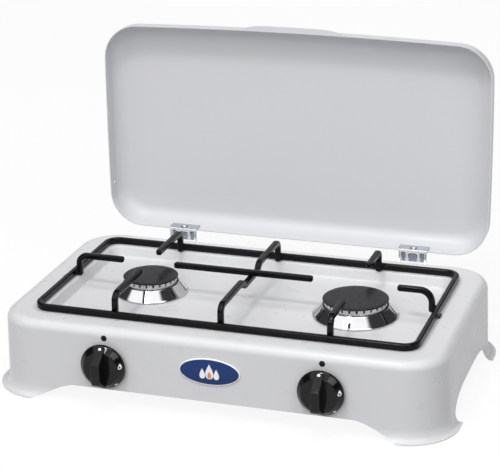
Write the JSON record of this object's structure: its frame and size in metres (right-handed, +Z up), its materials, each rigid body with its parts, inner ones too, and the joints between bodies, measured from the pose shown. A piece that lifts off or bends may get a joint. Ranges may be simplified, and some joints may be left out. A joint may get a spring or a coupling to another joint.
{
  "type": "camping stove",
  "caption": "Two-burner table-top gas camping stove with a hinged lid, a lift-off wire pan support and two push-and-turn taps.",
  "frame": {"origin": "on the table, under the middle of the stove's overall box with the lid open", "axes": "+X towards the stove's right side seen from the front, +Y towards the lid at the back, +Z up"},
  "size_m": [0.5, 0.3556, 0.3374],
  "materials": {
    "white_enamel": "gloss white enamel on pressed steel",
    "black_enamel": "gloss black enamel on steel bar",
    "cap_enamel": "satin black enamel",
    "chrome": "polished",
    "cast_aluminium": "as cast, turned seats",
    "zinc": "bright zinc plate",
    "brass": "machined",
    "steel": "drawn steel",
    "knob_plastic": "gloss black thermoset",
    "badge": "gloss blue label"
  },
  "bodies": {
    "hob": {"body_shell": "white_enamel", "badge": "badge", "gas_rail": "steel", "left_rail_bracket": "zinc", "right_rail_bracket": "zinc", "rail_end_plug": "brass", "hose_inlet": "brass", "inlet_nut": "brass", "left_burner_body": "cast_aluminium", "left_burner_nut": "zinc", "left_burner_ring": "chrome", "left_burner_crown": "cast_aluminium", "left_injector": "brass", "left_tap_body": "brass", "left_tap_clamp": "zinc", "left_clamp_screw": "zinc", "left_return_spring": "steel", "left_hinge_bracket": "zinc", "left_bracket_screw_1": "zinc", "left_bracket_screw_2": "zinc", "left_hinge_pin": "steel", "right_burner_body": "cast_aluminium", "right_burner_nut": "zinc", "right_burner_ring": "chrome", "right_burner_crown": "cast_aluminium", "right_injector": "brass", "right_tap_body": "brass", "right_tap_clamp": "zinc", "right_clamp_screw": "zinc", "right_return_spring": "steel", "right_hinge_bracket": "zinc", "right_bracket_screw_1": "zinc", "right_bracket_screw_2": "zinc", "right_hinge_pin": "steel"},
    "lid": {"lid_shell": "white_enamel", "left_hinge_leaf": "zinc", "left_leaf_rivet": "zinc", "right_hinge_leaf": "zinc", "right_leaf_rivet": "zinc"},
    "pan_support": {"support_rail": "black_enamel", "left_finger": "black_enamel", "right_finger": "black_enamel", "front_left_finger": "black_enamel", "back_left_finger": "black_enamel", "front_right_finger": "black_enamel", "back_right_finger": "black_enamel", "cross_bar": "black_enamel", "middle_bar": "black_enamel", "left_support_lug": "black_enamel", "right_support_lug": "black_enamel"},
    "left_cap": {"left_burner_cap": "cap_enamel"},
    "right_cap": {"right_burner_cap": "cap_enamel"},
    "left_knob_slide": {"left_push_collar": "zinc"},
    "left_knob_turn_body": {"left_knob": "knob_plastic", "left_spindle": "steel"},
    "right_knob_slide": {"right_push_collar": "zinc"},
    "right_knob_turn_body": {"right_knob": "knob_plastic", "right_spindle": "steel"}
  },
  "joints": [
    {"name": "lid_hinge", "type": "hinge", "parent": "hob", "child": "lid", "pos_m": [0, 0.13045, 0.068], "axis": [-1, 0, 0], "range_deg": [-90, 0]},
    {"name": "pan_support_lift", "type": "slide", "parent": "hob", "child": "pan_support", "axis": [0, 0, 1], "range_m": [0, 0.05]},
    {"name": "left_cap_lift", "type": "slide", "parent": "hob", "child": "left_cap", "axis": [0, 0, 1], "range_m": [0, 0.01]},
    {"name": "right_cap_lift", "type": "slide", "parent": "hob", "child": "right_cap", "axis": [0, 0, 1], "range_m": [0, 0.01]},
    {"name": "left_knob_push", "type": "slide", "parent": "hob", "child": "left_knob_slide", "axis": [0, 1, 0], "range_m": [0, 0.003], "stiffness_N_per_m": 800, "springref_m": -0.004, "deforming": ["left_return_spring"]},
    {"name": "left_knob_turn", "type": "hinge", "parent": "left_knob_slide", "child": "left_knob_turn_body", "pos_m": [-0.1143, -0.15425, 0.045], "axis": [0, -1, 0], "range_deg": [0, 165]},
    {"name": "right_knob_push", "type": "slide", "parent": "hob", "child": "right_knob_slide", "axis": [0, 1, 0], "range_m": [0, 0.003], "stiffness_N_per_m": 800, "springref_m": -0.004, "deforming": ["right_return_spring"]},
    {"name": "right_knob_turn", "type": "hinge", "parent": "right_knob_slide", "child": "right_knob_turn_body", "pos_m": [0.1187, -0.15425, 0.045], "axis": [0, -1, 0], "range_deg": [0, 165]}
  ]
}
